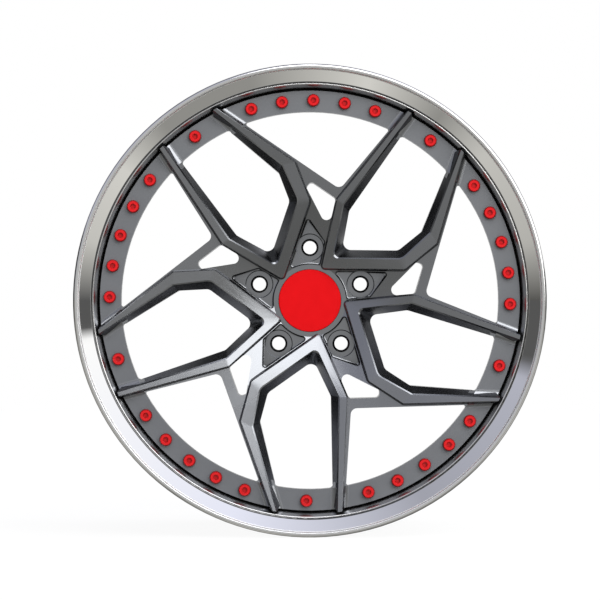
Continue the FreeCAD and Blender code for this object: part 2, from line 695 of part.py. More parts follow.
def make_washers():
    """Plain washers under the nuts."""
    washer = drum(WASHER_RADIUS, STACK_BACK - WASHER_THICKNESS, STACK_BACK)
    return Part.makeCompound(at_screws(washer.cut(drum(SCREW_RADIUS + SCREW_CLEARANCE, BELOW, ABOVE))))


def make_nuts():
    """Hexagon nuts behind the washers, with their outer corners turned off."""
    top = STACK_BACK - WASHER_THICKNESS
    low = top - NUT_HEIGHT
    nut = hex_prism(NUT_WIDTH, low, top)
    rise = (NUT_WIDTH - NUT_FACE_RADIUS) * math.tan(math.radians(NUT_CHAMFER_ANGLE))
    cone = revolved([(0, low), (NUT_FACE_RADIUS, low), (NUT_WIDTH, low + rise), (NUT_WIDTH, top), (0, top)])
    nut = nut.common(cone).cut(drum(SCREW_RADIUS + THREAD_CLEARANCE, BELOW, ABOVE))
    return Part.makeCompound(at_screws(nut))


def make_cap():
    """The centre cap: a plate in the hub's recess, with clip fingers that hook behind the throat."""
    rim = CAP_RECESS_RADIUS - CAP_CLEARANCE
    skirt = CAP_THROAT_RADIUS - CAP_CLEARANCE
    inside = skirt - CAP_SKIRT_WALL
    hook = OFFSET + CAP_HOOK_HEIGHT - CAP_CLEARANCE
    tip = hook - CAP_BARB_HEIGHT
    face = CAP_SEAT + CAP_PLATE
    side = (rim, face - CAP_EDGE)
    cap = revolved([(0, CAP_SEAT), (inside, CAP_SEAT), (inside, tip), (skirt, tip),
                    (skirt + CAP_BARB, hook - CAP_BARB_EDGE), (skirt + CAP_BARB, hook), (skirt, hook),
                    (skirt, CAP_SEAT), (rim, CAP_SEAT), side,
                    arc_to(side, (rim - CAP_EDGE, face), CAP_EDGE * (1 - math.sqrt(0.5))), (0, face)])
    slot = Part.makeBox(CAP_RECESS_RADIUS, CAP_CLIP_GAP, CAP_SEAT - CAP_CLIP_ROOT - BELOW,
                        FreeCAD.Vector(CAP_THROAT_RADIUS / 2, -CAP_CLIP_GAP / 2, BELOW))
    return cap.cut(around(slot, CAP_CLIP_COUNT))


def make_cap_spring():
    """The wire ring that presses the cap's clips outwards."""
    inside = CAP_THROAT_RADIUS - CAP_CLEARANCE - CAP_SKIRT_WALL - SPRING_CLEARANCE
    height = OFFSET + CAP_HOOK_HEIGHT - CAP_BARB_HEIGHT / 2
    return Part.makeTorus(inside - SPRING_WIRE_RADIUS, SPRING_WIRE_RADIUS, FreeCAD.Vector(0, 0, height))


def valve_placed(shape):
    """A valve piece, drawn on the axis with the barrel's inner face at height 0, set square on the ramp."""
    _, top, foot, _, _ = barrel_inside()
    fall = math.degrees(math.atan2(top[0] - foot[0], top[1] - foot[1]))
    copy = shape.copy()
    copy.rotate(ORIGIN, FreeCAD.Vector(1, 0, 0), 90 - fall)
    copy.translate(FreeCAD.Vector(0, (top[0] + foot[0]) / 2, (top[1] + foot[1]) / 2))
    return turned(copy, VALVE_TURN)


def make_valve_stem():
    """The metal stem with its head on the air side."""
    seat = VALVE_SPOT_DEPTH - BARREL_WALL - VALVE_SEAL_HEIGHT
    low = seat - VALVE_HEAD_HEIGHT
    stem = revolved([(VALVE_BORE_RADIUS, low), (VALVE_HEAD_RADIUS, low), (VALVE_HEAD_RADIUS, seat),
                     (VALVE_RADIUS, seat), (VALVE_RADIUS, VALVE_LENGTH), (VALVE_BORE_RADIUS, VALVE_LENGTH)])
    return valve_placed(stem)


def make_valve_seal():
    """The rubber grommet between the stem's head and the barrel."""
    seat = VALVE_SPOT_DEPTH - BARREL_WALL
    seal = drum(VALVE_SEAL_RADIUS, seat - VALVE_SEAL_HEIGHT, seat)
    return valve_placed(seal.cut(drum(VALVE_RADIUS + THREAD_CLEARANCE, BELOW, ABOVE)))


def make_valve_nut():
    """The nut that clamps the stem from inside the wheel."""
    low = -VALVE_SPOT_DEPTH
    nut = hex_prism(VALVE_NUT_WIDTH, low, low + VALVE_NUT_HEIGHT)
    return valve_placed(nut.cut(drum(VALVE_RADIUS + THREAD_CLEARANCE, BELOW, ABOVE)))


def make_valve_core():
    """The spring core that seals the stem's bore."""
    top = VALVE_LENGTH - VALVE_CORE_SINK
    body = drum(VALVE_BORE_RADIUS - THREAD_CLEARANCE, top - VALVE_CORE_LENGTH, top - VALVE_PIN_LENGTH)
    return valve_placed(body.fuse(drum(VALVE_PIN_RADIUS, top - VALVE_PIN_LENGTH, top)))


def make_valve_cap():
    """The dust cap over the stem's end."""
    inside = VALVE_RADIUS + THREAD_CLEARANCE
    top = VALVE_LENGTH + VALVE_CAP_TOP
    low = top - VALVE_CAP_HEIGHT
    outside = inside + VALVE_CAP_WALL
    cap = revolved([(inside, low), (outside, low), (outside, top - VALVE_CAP_CHAMFER),
                    (outside - VALVE_CAP_CHAMFER, top), (0, top), (0, VALVE_LENGTH), (inside, VALVE_LENGTH)])
    return valve_placed(cap)


def write(name, shape):
    """Turn a piece from the drawing frame to the wheel's own frame and write it."""
    piece = turned(shape, SPOKE_AXIS - 90)
    piece.rotate(ORIGIN, FreeCAD.Vector(1, 0, 0), 90)
    piece.exportStep(os.path.join("parts", name + ".step"))


PIECES = {
    "wheel_centre": make_centre,
    "outer_lip": make_lip,
    "inner_barrel": make_barrel,
    "barrel_seal": make_seal,
    "assembly_bolts": make_screws,
    "assembly_washers": make_washers,
    "assembly_nuts": make_nuts,
    "centre_cap": make_cap,
    "cap_spring": make_cap_spring,
    "valve_stem": make_valve_stem,
    "valve_seal": make_valve_seal,
    "valve_nut": make_valve_nut,
    "valve_core": make_valve_core,
    "valve_cap": make_valve_cap,
}

os.makedirs("parts", exist_ok=True)
for name, make in PIECES.items():
    write(name, make())
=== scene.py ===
# %% [markdown]
# A forged road wheel, dressed for its portrait. The solids come from the CAD frame: a milled centre
# with five V-shaped double spokes, a polished outer rim half, an inner barrel and the small fastenings.
# This lesson gives each of them its real finish, winds the fine threads that a solid model leaves
# out, lays a bead and a groove round the lip, and sets up a plain studio that a mirror-polished lip
# can look into.

# %% Load the frame
import bpy
import numpy as np
from mathutils import Matrix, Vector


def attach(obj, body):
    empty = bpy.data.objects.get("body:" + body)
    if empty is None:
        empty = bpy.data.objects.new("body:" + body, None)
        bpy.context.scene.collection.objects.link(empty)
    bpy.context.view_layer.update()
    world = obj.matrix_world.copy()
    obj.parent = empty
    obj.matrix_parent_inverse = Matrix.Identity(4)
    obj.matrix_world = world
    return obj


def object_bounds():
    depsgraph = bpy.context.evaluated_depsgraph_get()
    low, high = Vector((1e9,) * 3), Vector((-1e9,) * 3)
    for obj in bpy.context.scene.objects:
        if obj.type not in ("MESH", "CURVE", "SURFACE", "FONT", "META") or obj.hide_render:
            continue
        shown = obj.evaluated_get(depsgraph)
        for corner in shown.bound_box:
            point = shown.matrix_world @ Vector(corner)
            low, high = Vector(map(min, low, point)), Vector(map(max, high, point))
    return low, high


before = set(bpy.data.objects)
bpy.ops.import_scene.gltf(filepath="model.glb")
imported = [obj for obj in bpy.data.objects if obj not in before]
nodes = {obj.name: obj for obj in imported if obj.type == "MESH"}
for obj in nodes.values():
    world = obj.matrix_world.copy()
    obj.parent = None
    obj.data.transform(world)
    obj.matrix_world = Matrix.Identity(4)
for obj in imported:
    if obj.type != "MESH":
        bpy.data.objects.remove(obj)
cad_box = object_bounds()
print("nodes:", ", ".join(sorted(nodes)))
print("box in mm:", [round(1000 * (b - a), 1) for a, b in zip(*cad_box)])

# %% [markdown]
# A few helpers carry the whole lesson. Colours are written as they look on a screen, so one function
# turns a hex value into the linear light that Blender works in. One small function adds any shader
# node with its settings and links, which keeps each finish readable from top to bottom. The others
# fill a colour ramp, start a material, tell where a point lies by the axle and how far its face looks
# to the front, let a noise roughen a surface, hand a material to the pieces that wear it, and make a
# new piece from points and faces.

# %% Helpers for colours, nodes and finishes
MM = 0.001
SPAN = "ShaderNodeMapRange"   # carries a value from one span to another, 0 to 1 unless said
MATH = "ShaderNodeMath"
VECTOR = "ShaderNodeVectorMath"
MIX = "ShaderNodeMixRGB"
RAMP = "ShaderNodeValToRGB"
NOISE = "ShaderNodeTexNoise"
BUMP = "ShaderNodeBump"
NOISE_SPAN = (0.3, 0.7)       # nearly all of a noise lies between these
FRONTWARDS = (0, -1, 0)       # the way the wheel's face looks


def linear(hex_colour):
    """sRGB hex to linear RGBA.

    Each channel c becomes ((c + 0.055) / 1.055) ** 2.4, or c / 12.92 near black.
    """
    c = np.array([int(hex_colour[i:i + 2], 16) for i in (1, 3, 5)]) / 255
    c = np.where(c <= 0.04045, c / 12.92, ((c + 0.055) / 1.055) ** 2.4)
    return (*map(float, c), 1.0)


def add(tree, kind, inputs=(), **settings):
    """Adds one node.

    Settings are its properties. Inputs are its sockets by name, or in order from the first, each with
    a value or with an output to link.
    """
    made = tree.nodes.new(kind)
    for name, value in settings.items():
        setattr(made, name, value)
    for name, value in inputs.items() if isinstance(inputs, dict) else enumerate(inputs):
        if isinstance(value, bpy.types.NodeSocket):
            tree.links.new(value, made.inputs[name])
        else:
            made.inputs[name].default_value = value
    return made


def stops(ramp, *places):
    """Fills a colour ramp's node with (place, linear colour) pairs in order, and gives its colour."""
    row = ramp.color_ramp.elements
    while len(row) < len(places):
        row.new(1.0)
    for stop, (place, colour) in zip(row, places):
        stop.position, stop.color = place, colour
    return ramp.outputs["Color"]


def finish(name, **surface):
    """Starts a material with one surface shader whose constant sockets are set here."""
    material = bpy.data.materials.new(name)
    material.use_nodes = True
    tree = material.node_tree
    tree.nodes.clear()
    constants = {key.replace("_", " "): value for key, value in surface.items()}
    shader = add(tree, "ShaderNodeBsdfPrincipled", constants)
    add(tree, "ShaderNodeOutputMaterial", {"Surface": shader.outputs[0]})
    return material, tree, shader


def axle_places(tree):
    """Where a point lies, as node outputs by name.

    The point itself, its offset across the Y axis, its radius from that axis and its depth along it.
    """
    point = add(tree, "ShaderNodeTexCoord").outputs["Object"]
    across = add(tree, VECTOR, {0: point, 1: (1, 0, 1)}, operation="MULTIPLY").outputs[0]
    radius = add(tree, VECTOR, {0: across}, operation="LENGTH").outputs["Value"]
    depth = add(tree, "ShaderNodeSeparateXYZ", {0: point}).outputs["Y"]
    return {"point": point, "across": across, "radius": radius, "depth": depth}


def normal_along(tree, direction):
    """Dot product of the surface normal with a direction: 1 looks that way, -1 looks away."""
    normal = add(tree, "ShaderNodeNewGeometry").outputs["Normal"]
    return add(tree, VECTOR, {0: normal, 1: direction}, operation="DOT_PRODUCT").outputs["Value"]


def grained(tree, shader, noise, gloss, strength, height):
    """Lets one noise carry the roughness between the two of gloss, and raise a bump of this height."""
    rough = add(tree, SPAN, (noise, *NOISE_SPAN, *gloss)).outputs[0]
    tree.links.new(rough, shader.inputs["Roughness"])
    bump = add(tree, BUMP, {"Height": noise, "Strength": strength, "Distance": height})
    tree.links.new(bump.outputs["Normal"], shader.inputs["Normal"])


def wear(material, *names):
    """Gives CAD nodes this material in all their slots."""
    for name in names:
        nodes[name].data.materials.clear()
        nodes[name].data.materials.append(material)
    print(material.name, "on", ", ".join(names))


def new_piece(name, points, faces, material):
    """Makes an object at the origin from points and faces, with one material."""
    mesh = bpy.data.meshes.new(name)
    mesh.from_pydata(points.tolist(), [], faces)
    mesh.materials.append(material)
    made = bpy.data.objects.new(name, mesh)
    bpy.context.scene.collection.objects.link(made)
    print(name + ":", len(points), "points,", len(faces), "faces")
    return made


# %% [markdown]
# The centre is milled from forged aluminium and covered with a satin gunmetal coat. Its colour
# follows the surface normal: faces that look to the front are light, the bevels, steps and window
# walls that turn sideways are dark, and the back lies between. That light and dark is painted shade,
# drawn into the coat's colour by how each face turns. Metal flakes in the coat give a faint sparkle.
# The flat bolt ring is left matt.

# %% Satin gunmetal coat on the centre
FLAKE = 0.6 * MM           # flakes are really 0.05 mm; drawn as coarse as they need to show
FLAKE_HEIGHT, FLAKE_BUMP = 0.05 * MM, 0.015
SPARKLE = (0.97, 1.03)     # how far the flakes change the shade
CLOUD = 45 * MM            # slow drift of the coat's thickness
COAT_GLOSS = (0.24, 0.29)  # roughness that the drift runs between
RING_EDGE = 208.2 * MM     # the flat bolt ring begins at this radius
RING_MATT = 0.50           # and is this much rougher
FLAT = (0.985, 0.998)      # a face counts as flat from here on, as its normal turns to the front

gunmetal, tree, shader = finish("satin gunmetal coat on forged aluminium", Metallic=1.0)
at = axle_places(tree)
front = normal_along(tree, FRONTWARDS)
flakes = add(tree, NOISE, {"Vector": at["point"], "Scale": 1 / FLAKE, "Detail": 1.0}).outputs["Fac"]
cloud = add(tree, NOISE, {"Vector": at["point"], "Scale": 1 / CLOUD, "Detail": 3.0}).outputs["Fac"]
facing = add(tree, SPAN, (front, -1.0, 1.0)).outputs[0]    # 0 back, 0.5 sideways, 1 front
# painted shade: the coat's colour by facing, darkest where faces turn sideways, lighter towards the front
# and at the back
tone = stops(add(tree, RAMP, {"Fac": facing}),
             (0.0, linear("#6a6b6e")), (0.47, linear("#3a3b3c")), (0.50, linear("#262728")),
             (0.62, linear("#36373a")), (0.67, linear("#6b6c6f")), (0.82, linear("#6e6f72")),
             (0.85, linear("#808285")), (0.965, linear("#96989b")), (1.0, linear("#9b9da0")))
fleck = add(tree, SPAN, (flakes, *NOISE_SPAN, *SPARKLE)).outputs[0]
coat = add(tree, VECTOR, {0: tone, "Scale": fleck}, operation="SCALE")
tree.links.new(coat.outputs["Vector"], shader.inputs["Base Color"])
gloss = add(tree, SPAN, (cloud, *NOISE_SPAN, *COAT_GLOSS)).outputs[0]
ring = add(tree, SPAN, (at["radius"], RING_EDGE - MM, RING_EDGE)).outputs[0]
flat = add(tree, SPAN, (front, *FLAT)).outputs[0]
matt = add(tree, MATH, (ring, flat), operation="MULTIPLY").outputs[0]
gloss = add(tree, MATH, (matt, RING_MATT, gloss), operation="MULTIPLY_ADD").outputs[0]
tree.links.new(gloss, shader.inputs["Roughness"])
grain = add(tree, BUMP, {"Height": flakes, "Strength": FLAKE_BUMP, "Distance": FLAKE_HEIGHT})
tree.links.new(grain.outputs["Normal"], shader.inputs["Normal"])
wear(gunmetal, "wheel_centre")

# %% [markdown]
# The lip and the barrel are turned and spun, so every tool mark on them runs round the axis. A mark
# then depends only on how far a point is from the axis and how far along it lies. The distance comes
# from the two coordinates across the axis, and a noise of that one number draws the rings.
# The lip's face is polished to a mirror. The pocket behind the bolt ring is left satin and painted
# near black, a painted shade for the dark of that narrow gap, and the groove is painted a darker grey,
# a painted shade in its inside corner. The wall round the bolt ring and the corner under the rolled
# edge are only brushed, the side that the tyre sits on is left as turned, and the rolled edge past a
# set radius is drawn a darker grey. Masks on radius, depth and normal tell them apart.

# %% Polished lip
POLISH_LINE = 0.7 * MM     # polishing rings are finer than a hair; drawn as coarse as they need to show
LINE_HAZE = (0.0, 0.03)    # roughness that the rings add
POCKET_EDGE = 235.6 * MM   # the pocket behind the bolt ring lies within this radius ...
POCKET_TOP = -106.8 * MM   # ... and behind this depth
GROOVE = (240.5 * MM, 242.2 * MM)        # the groove at the foot of the face
CORNER_RING = (254.2 * MM, 256.2 * MM)   # the corner under the rolled edge
WALL_RIM = 239.2 * MM      # the wall round the bolt ring ends at this radius
ROLL_RIM = 259.8 * MM      # past this radius the rolled edge is drawn a darker grey
TYRE_SIDE = -125.2 * MM    # behind this depth, outward faces belong to the tyre
INWARD = (0.3, 0.2)        # a face counts as inward from here on, as its normal turns to the axle
OUTWARD = (0.05, 0.25)     # and as outward from here on, as it turns away
SHARP, SOFT, SOFTER = 0.1 * MM, 0.2 * MM, 0.3 * MM    # widths over which a mask fades
MIRROR, SATIN, MATT = 0.02, 0.26, 0.55                # roughness


def rings(tree, at, spacing):
    """A one-number noise of radius plus depth: rings round the Y axis, one every spacing."""
    along = add(tree, MATH, (at["radius"], at["depth"]), operation="ADD").outputs[0]
    return add(tree, NOISE, {"W": along, "Scale": 1 / spacing, "Detail": 2.0},
               noise_dimensions="1D").outputs["Fac"]


polish, tree, shader = finish("mirror-polished aluminium", Metallic=1.0)
at = axle_places(tree)
radius, depth = at["radius"], at["depth"]
spoke_way = add(tree, VECTOR, {0: at["across"]}, operation="NORMALIZE").outputs["Vector"]
outwards = normal_along(tree, spoke_way)
within = add(tree, SPAN, (radius, POCKET_EDGE, POCKET_EDGE - SOFTER)).outputs[0]
behind = add(tree, SPAN, (depth, POCKET_TOP - SOFTER, POCKET_TOP)).outputs[0]
shaded_pocket = add(tree, MATH, (within, behind), operation="MULTIPLY").outputs[0]
inner = add(tree, SPAN, (outwards, *INWARD)).outputs[0]
bands = []
# the groove's band is painted a darker grey below, a painted shade in its inside corner; the corner's band
# only changes roughness
for start, end in (GROOVE, CORNER_RING):
    past = add(tree, SPAN, (radius, start - SHARP, start)).outputs[0]
    short = add(tree, SPAN, (radius, end + SHARP, end)).outputs[0]
    band = add(tree, MATH, (past, short), operation="MULTIPLY").outputs[0]
    bands.append(add(tree, MATH, (band, inner), operation="MULTIPLY").outputs[0])
groove, corner = bands
wall = add(tree, SPAN, (radius, WALL_RIM + SHARP, WALL_RIM)).outputs[0]
flank = add(tree, SPAN, (radius, ROLL_RIM - SOFT, ROLL_RIM)).outputs[0]
outside = add(tree, SPAN, (outwards, *OUTWARD)).outputs[0]
behind = add(tree, SPAN, (depth, TYRE_SIDE - MM, TYRE_SIDE)).outputs[0]
turned = add(tree, MATH, (outside, behind), operation="MULTIPLY").outputs[0]
tone = linear("#f2f2f1")
# the pocket's near black and the groove's darker grey are painted shade; the wall's tone goes with its
# brushed finish; the flank is a darker grey on the rolled edge
for mask, shade in ((wall, "#d6d6d6"), (flank, "#929292"), (groove, "#6a6a6a"), (shaded_pocket, "#161616")):
    tone = add(tree, MIX, (mask, tone, linear(shade))).outputs[0]
tree.links.new(tone, shader.inputs["Base Color"])
dull = add(tree, MATH, (turned, shaded_pocket), operation="MAXIMUM").outputs[0]
rough = MIRROR
for mask, level in ((wall, SATIN), (dull, SATIN), (corner, MATT)):
    rough = add(tree, SPAN, (mask, 0.0, 1.0, rough, level)).outputs[0]
lines = rings(tree, at, POLISH_LINE)
haze = add(tree, SPAN, (lines, *NOISE_SPAN, *LINE_HAZE)).outputs[0]
rough = add(tree, MATH, (rough, haze), operation="ADD").outputs[0]
tree.links.new(rough, shader.inputs["Roughness"])
wear(polish, "outer_lip")

# %% [markdown]
# The barrel is spun over a form by a roller and then only brushed. Its rings are coarser than the
# lip's, they change the shade as well as the gloss, and a low bump lets them catch the light.

# %% Spun barrel
SPIN_LINE = 1.6 * MM       # feed of the spinning roller
SPIN_GLOSS = (0.24, 0.36)
SPIN_HEIGHT, SPIN_BUMP = 0.04 * MM, 0.25

spun, tree, shader = finish("spun aluminium, brushed in rings", Metallic=1.0)
lines = rings(tree, axle_places(tree), SPIN_LINE)
tone = stops(add(tree, RAMP, {"Fac": lines}), (0.3, linear("#b4b6b9")), (0.7, linear("#c9cacc")))
tree.links.new(tone, shader.inputs["Base Color"])
grained(tree, shader, lines, SPIN_GLOSS, SPIN_BUMP, SPIN_HEIGHT)
wear(spun, "inner_barrel")

# %% [markdown]
# The thirty screws that hold the three pieces together are zinc-plated steel. Only their heads are
# lacquered red, so depth along the axle parts the two finishes at the face of the bolt ring. The red
# darkens as a head's surface turns from the front, a painted shade that gives each head a deep red
# rim; the normal tells top from flank. The waves are the orange-peel that lacquer dries to.

# %% Red screws
PEEL = 2.5 * MM            # length of the waves in the lacquer
PEEL_GLOSS = (0.24, 0.34)
PEEL_HEIGHT, PEEL_BUMP = 0.02 * MM, 0.08
RING_FACE = -106.9 * MM    # the heads stand in front of this depth

lacquer, tree, shader = finish("red lacquer on zinc-plated steel", Specular_IOR_Level=0.3)
at = axle_places(tree)
front = normal_along(tree, FRONTWARDS)
peel = add(tree, NOISE, {"Vector": at["point"], "Scale": 1 / PEEL, "Detail": 2.0}).outputs["Fac"]
shank = add(tree, SPAN, (at["depth"], RING_FACE - SOFT, RING_FACE)).outputs[0]
# painted shade: the red darkens to a deep rim as the head's surface turns from the front
red = stops(add(tree, RAMP, {"Fac": front}),
            (0.0, linear("#5e0709")), (0.45, linear("#8c0d10")),
            (0.85, linear("#e5181c")), (1.0, linear("#e8191d")))
tone = add(tree, MIX, (shank, red, linear("#b0b2b4"))).outputs[0]
tree.links.new(tone, shader.inputs["Base Color"])
tree.links.new(shank, shader.inputs["Metallic"])
grained(tree, shader, peel, PEEL_GLOSS, PEEL_BUMP, PEEL_HEIGHT)
wear(lacquer, "assembly_bolts")

# %% [markdown]
# The cap over the hub is moulded in plain red plastic. Its face is flat and eggshell rather than
# glossy, so it shows one even red with hardly a reflection. What detail it has is the fine
# spark-eroded grain of its mould and a faint drift of the pigment.

# %% Red cap
MOULD_GRAIN = 0.8 * MM     # the eroded grain is really 0.1 mm; drawn as coarse as it needs to show
MOULD_GLOSS = (0.42, 0.54)
MOULD_HEIGHT, MOULD_BUMP = 0.02 * MM, 0.06
PIGMENT = 14 * MM          # drift of the colour

moulded, tree, shader = finish("moulded red ABS", Specular_IOR_Level=0.06)
point = add(tree, "ShaderNodeTexCoord").outputs["Object"]
grain = add(tree, NOISE, {"Vector": point, "Scale": 1 / MOULD_GRAIN, "Detail": 1.0}).outputs["Fac"]
drift = add(tree, NOISE, {"Vector": point, "Scale": 1 / PIGMENT, "Detail": 2.0}).outputs["Fac"]
tone = stops(add(tree, RAMP, {"Fac": drift}), (0.3, linear("#f4141a")), (0.7, linear("#f01218")))
tree.links.new(tone, shader.inputs["Base Color"])
grained(tree, shader, grain, MOULD_GLOSS, MOULD_BUMP, MOULD_HEIGHT)
wear(moulded, "centre_cap")

# %% [markdown]
# The small pieces at the back are bought in: zinc-plated nuts, washers and cap spring, a bead of
# sealant between the rim halves, and the tyre valve with its rubber seal, brass core and plastic cap.
# Each finish is a shade and a grain, so a short table of real values says more than ten cells would.
# Grain is the size of the spangle, pore or turning mark that breaks up the surface.

# %% Plated steel, sealant and the valve's materials
PORE_HEIGHT = 0.03 * MM
SMALL_FINISHES = (
    # name, darker shade, lighter shade, metallic, roughness low and high, grain in mm, bump, wearers
    ("zinc-plated steel", "#9c9ea0", "#c2c4c5", 1.0, (0.26, 0.42), 1.4, 0.10,
     ("assembly_nuts", "assembly_washers", "cap_spring")),
    ("grey silicone sealant", "#77797b", "#85878a", 0.0, (0.38, 0.50), 2.2, 0.15, ("barrel_seal",)),
    ("turned aluminium", "#a3a5a8", "#b9bbbd", 1.0, (0.24, 0.36), 0.8, 0.10, ("valve_stem", "valve_nut")),
    ("moulded black rubber", "#17181a", "#242526", 0.0, (0.60, 0.78), 0.5, 0.25, ("valve_seal",)),
    ("drawn brass", "#a9823f", "#c09a54", 1.0, (0.24, 0.38), 0.9, 0.08, ("valve_core",)),
    ("moulded black nylon", "#151617", "#202123", 0.0, (0.42, 0.55), 0.6, 0.20, ("valve_cap",)),
)
for name, deep, pale, metal, gloss, size, bump, wearers in SMALL_FINISHES:
    small, tree, shader = finish(name, Metallic=metal)
    point = add(tree, "ShaderNodeTexCoord").outputs["Object"]
    spots = add(tree, NOISE, {"Vector": point, "Scale": 1 / (size * MM), "Detail": 3.0}).outputs["Fac"]
    tone = stops(add(tree, RAMP, {"Fac": spots}), (0.35, linear(deep)), (0.65, linear(pale)))
    tree.links.new(tone, shader.inputs["Base Color"])
    grained(tree, shader, spots, gloss, bump, PORE_HEIGHT)
    wear(small, *wearers)

# %% [markdown]
# Behind the rim each screw ends in a few turns of thread past its nut. The solid has a plain shank
# there, because thread faces would weigh the model down and no fit depends on them. A thread is one
# ridge of triangular section wound round the shank, so it is made as what it is: a three-cornered
# profile carried along a helix. All thirty are computed at once, in one array with an axis for
# the screws, and the ridge fades out at both ends as a cut thread does.

# %% Thread ridges on the screw tips
SCREW_CIRCLE = 222.0 * MM
FIRST_SCREW, SPOKE_STEP, SCREW_STEP = 53, 72, 9    # degrees
SCREW_PLACES = (0, 2, 3, 4, 5, 6)                  # of the eight to a spoke; arms end over the others
SCREW_ANGLES = np.radians([FIRST_SCREW + SPOKE_STEP * spoke + SCREW_STEP * place
                           for spoke in range(5) for place in SCREW_PLACES])
SHANK = 4.0 * MM
PITCH = 1.25 * MM          # coarse thread of an 8 mm screw
RIDGE = 0.30 * MM
FOOT_REACH = 0.4           # from the crest to each foot, as a share of the pitch
TIP = (-75.4 * MM, -72.9 * MM)
STEPS = 24                 # sides to a turn


def wound_ridges(angles, low, high):
    """Three-cornered ridges wound round the screws, as points and faces.

    At a share t of the way the helix has turned by t times (high - low) / pitch turns and moved along
    the axle from low to high. Two feet lie inside the shank, most of a pitch apart, with the crest
    between them; its height grows from nothing over the first half turn and falls back over the last.
    """
    turns = (high - low) / PITCH
    t = np.linspace(0, 1, int(turns * STEPS) + 1)
    crest = RIDGE * np.clip(2 * turns * np.minimum(t, 1 - t), 0, 1)
    foot = np.full_like(t, -RIDGE / 2)
    reach = SHANK + np.stack((foot, crest, foot), axis=1)
    turn = 2 * np.pi * turns * t[:, None]
    x = SCREW_CIRCLE * np.cos(angles)[:, None, None] + reach * np.cos(turn)
    z = SCREW_CIRCLE * np.sin(angles)[:, None, None] + reach * np.sin(turn)
    section = PITCH * np.array((-FOOT_REACH, 0.0, FOOT_REACH))
    y = np.broadcast_to(low + t[:, None] * (high - low) + section, x.shape)
    count = 3 * len(t)
    first = count * np.arange(len(angles))[:, None, None]
    step, corner = np.meshgrid(3 * np.arange(len(t) - 1), np.arange(3), indexing="ij")
    after = (corner + 1) % 3
    sides = np.stack((step + corner, step + after, step + 3 + after, step + 3 + corner), axis=-1)
    ends = np.array(((2, 1, 0), (count - 3, count - 2, count - 1)))
    sides = (first + sides.reshape(-1, 4)).reshape(-1, 4)
    ends = (first + ends).reshape(-1, 3)
    return np.stack((x, y, z), axis=-1).reshape(-1, 3), sides.tolist() + ends.tolist()


points, faces = wound_ridges(SCREW_ANGLES, *TIP)
threads = new_piece("screw_threads", points, faces, bpy.data.materials["zinc-plated steel"])
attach(threads, "root")

# %% [markdown]
# A fine bead and a groove run round the foot of the polished face. They were turned into the lip with
# one small tool, and the solid has only a plain rounded edge there. They are laid over it as one thin
# ring: a closed profile carried round the axle, with its back sunk in the lip.

# %% Bead and groove at the foot of the lip
WALL_FOOT = (235.35 * MM, 107.4 * MM)    # radius, and height towards the front
WALL_TOP = (239.0 * MM, 117.0 * MM)
BEAD_END = (240.6 * MM, 117.2 * MM)
GROOVE_END = (242.5 * MM, 118.4 * MM)
SUNK_BACK = ((242.9 * MM, 117.6 * MM), (237.0 * MM, 107.9 * MM))
BEAD_BULGE, GROOVE_SINK = 0.5 * MM, 0.4 * MM
BOW_POINTS = 9
RING_STEPS = 360
SHARP_EDGE = np.radians(30)


def bowed(start, end, rise):
    """Points from start to end: the chord at share t, moved across it by 4 t (1 - t) times the rise."""
    start, chord = np.array(start), np.array(end) - np.array(start)
    across = np.array((-chord[1], chord[0])) / np.hypot(*chord)
    t = np.linspace(0, 1, BOW_POINTS)[:, None]
    return start + t * chord + 4 * t * (1 - t) * rise * across


def turned_ring(profile):
    """A closed (radius, height) profile carried round the axle in equal steps, as points and faces."""
    turn = np.linspace(0, 2 * np.pi, RING_STEPS, endpoint=False)[:, None]
    radius, height = profile.T
    points = np.stack((radius * np.cos(turn), -height + 0 * turn, radius * np.sin(turn)), axis=-1)
    step, corner = np.meshgrid(np.arange(RING_STEPS), np.arange(len(profile)), indexing="ij")
    row, after = len(profile) * step, len(profile) * ((step + 1) % RING_STEPS)
    beside = (corner + 1) % len(profile)
    faces = np.stack((row + corner, row + beside, after + beside, after + corner), axis=-1)
    return points.reshape(-1, 3), faces.reshape(-1, 4).tolist()


bead = bowed(WALL_TOP, BEAD_END, BEAD_BULGE)
groove = bowed(BEAD_END, GROOVE_END, -GROOVE_SINK)
points, faces = turned_ring(np.vstack((WALL_FOOT, bead, groove[1:], SUNK_BACK)))
lip_bead = new_piece("lip_bead", points, faces, polish)
lip_bead.data.polygons.foreach_set("use_smooth", np.ones(len(faces), bool))
lip_bead.data.set_sharp_from_angle(angle=SHARP_EDGE)
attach(lip_bead, "root")

# %% [markdown]
# The studio. The photograph's wheel stands before pure white, seen straight along its axle from
# about three metres. A long lens keeps the rings round and the windows square to the eye, and a
# small sideways shift puts the wheel where the frame has it.

# %% Camera on the wheel's axle
FRAME_PIXELS = 600
SHIFT_PIXELS = (-9.88, 0.57)
FRONT_PLANE = float(cad_box[0][1])
DISTANCE = 3.16
VIEW_WIDTH = 0.660         # metres across the frame at the wheel's front
SENSOR = 36.0

lens = bpy.data.cameras.new("portrait lens")
lens.sensor_width = SENSOR
lens.lens = SENSOR * DISTANCE / VIEW_WIDTH
lens.shift_x, lens.shift_y = (shift / FRAME_PIXELS for shift in SHIFT_PIXELS)
camera = bpy.data.objects.new("camera", lens)
camera.location = (0.0, FRONT_PLANE - DISTANCE, 0.0)
camera.rotation_euler = (np.pi / 2, 0.0, 0.0)
bpy.context.scene.collection.objects.link(camera)
bpy.context.scene.camera = camera
print("lens in mm:", round(lens.lens, 1), "at", round(camera.location.y, 3), "m")

# %% [markdown]
# A mirror shows the room, so the room is part of the finish. The sloping lip looks sideways: its top
# sees the ground, its foot sees the ceiling and its left side sees what stands on the right. The world
# is therefore drawn by the angle round the axle. One table says how bright the room is beside the
# wheel: pale ground with soft darker strips, a bright window wall on the right, a soft ceiling and a
# dark curtain on the left. A second table does the same for the room ahead, towards the camera,
# which the spokes see. A narrow bright strip on the right stands level with the wheel, where only the
# broken edges of the spokes look. Behind the wheel hangs the white backdrop, for eye and metal.

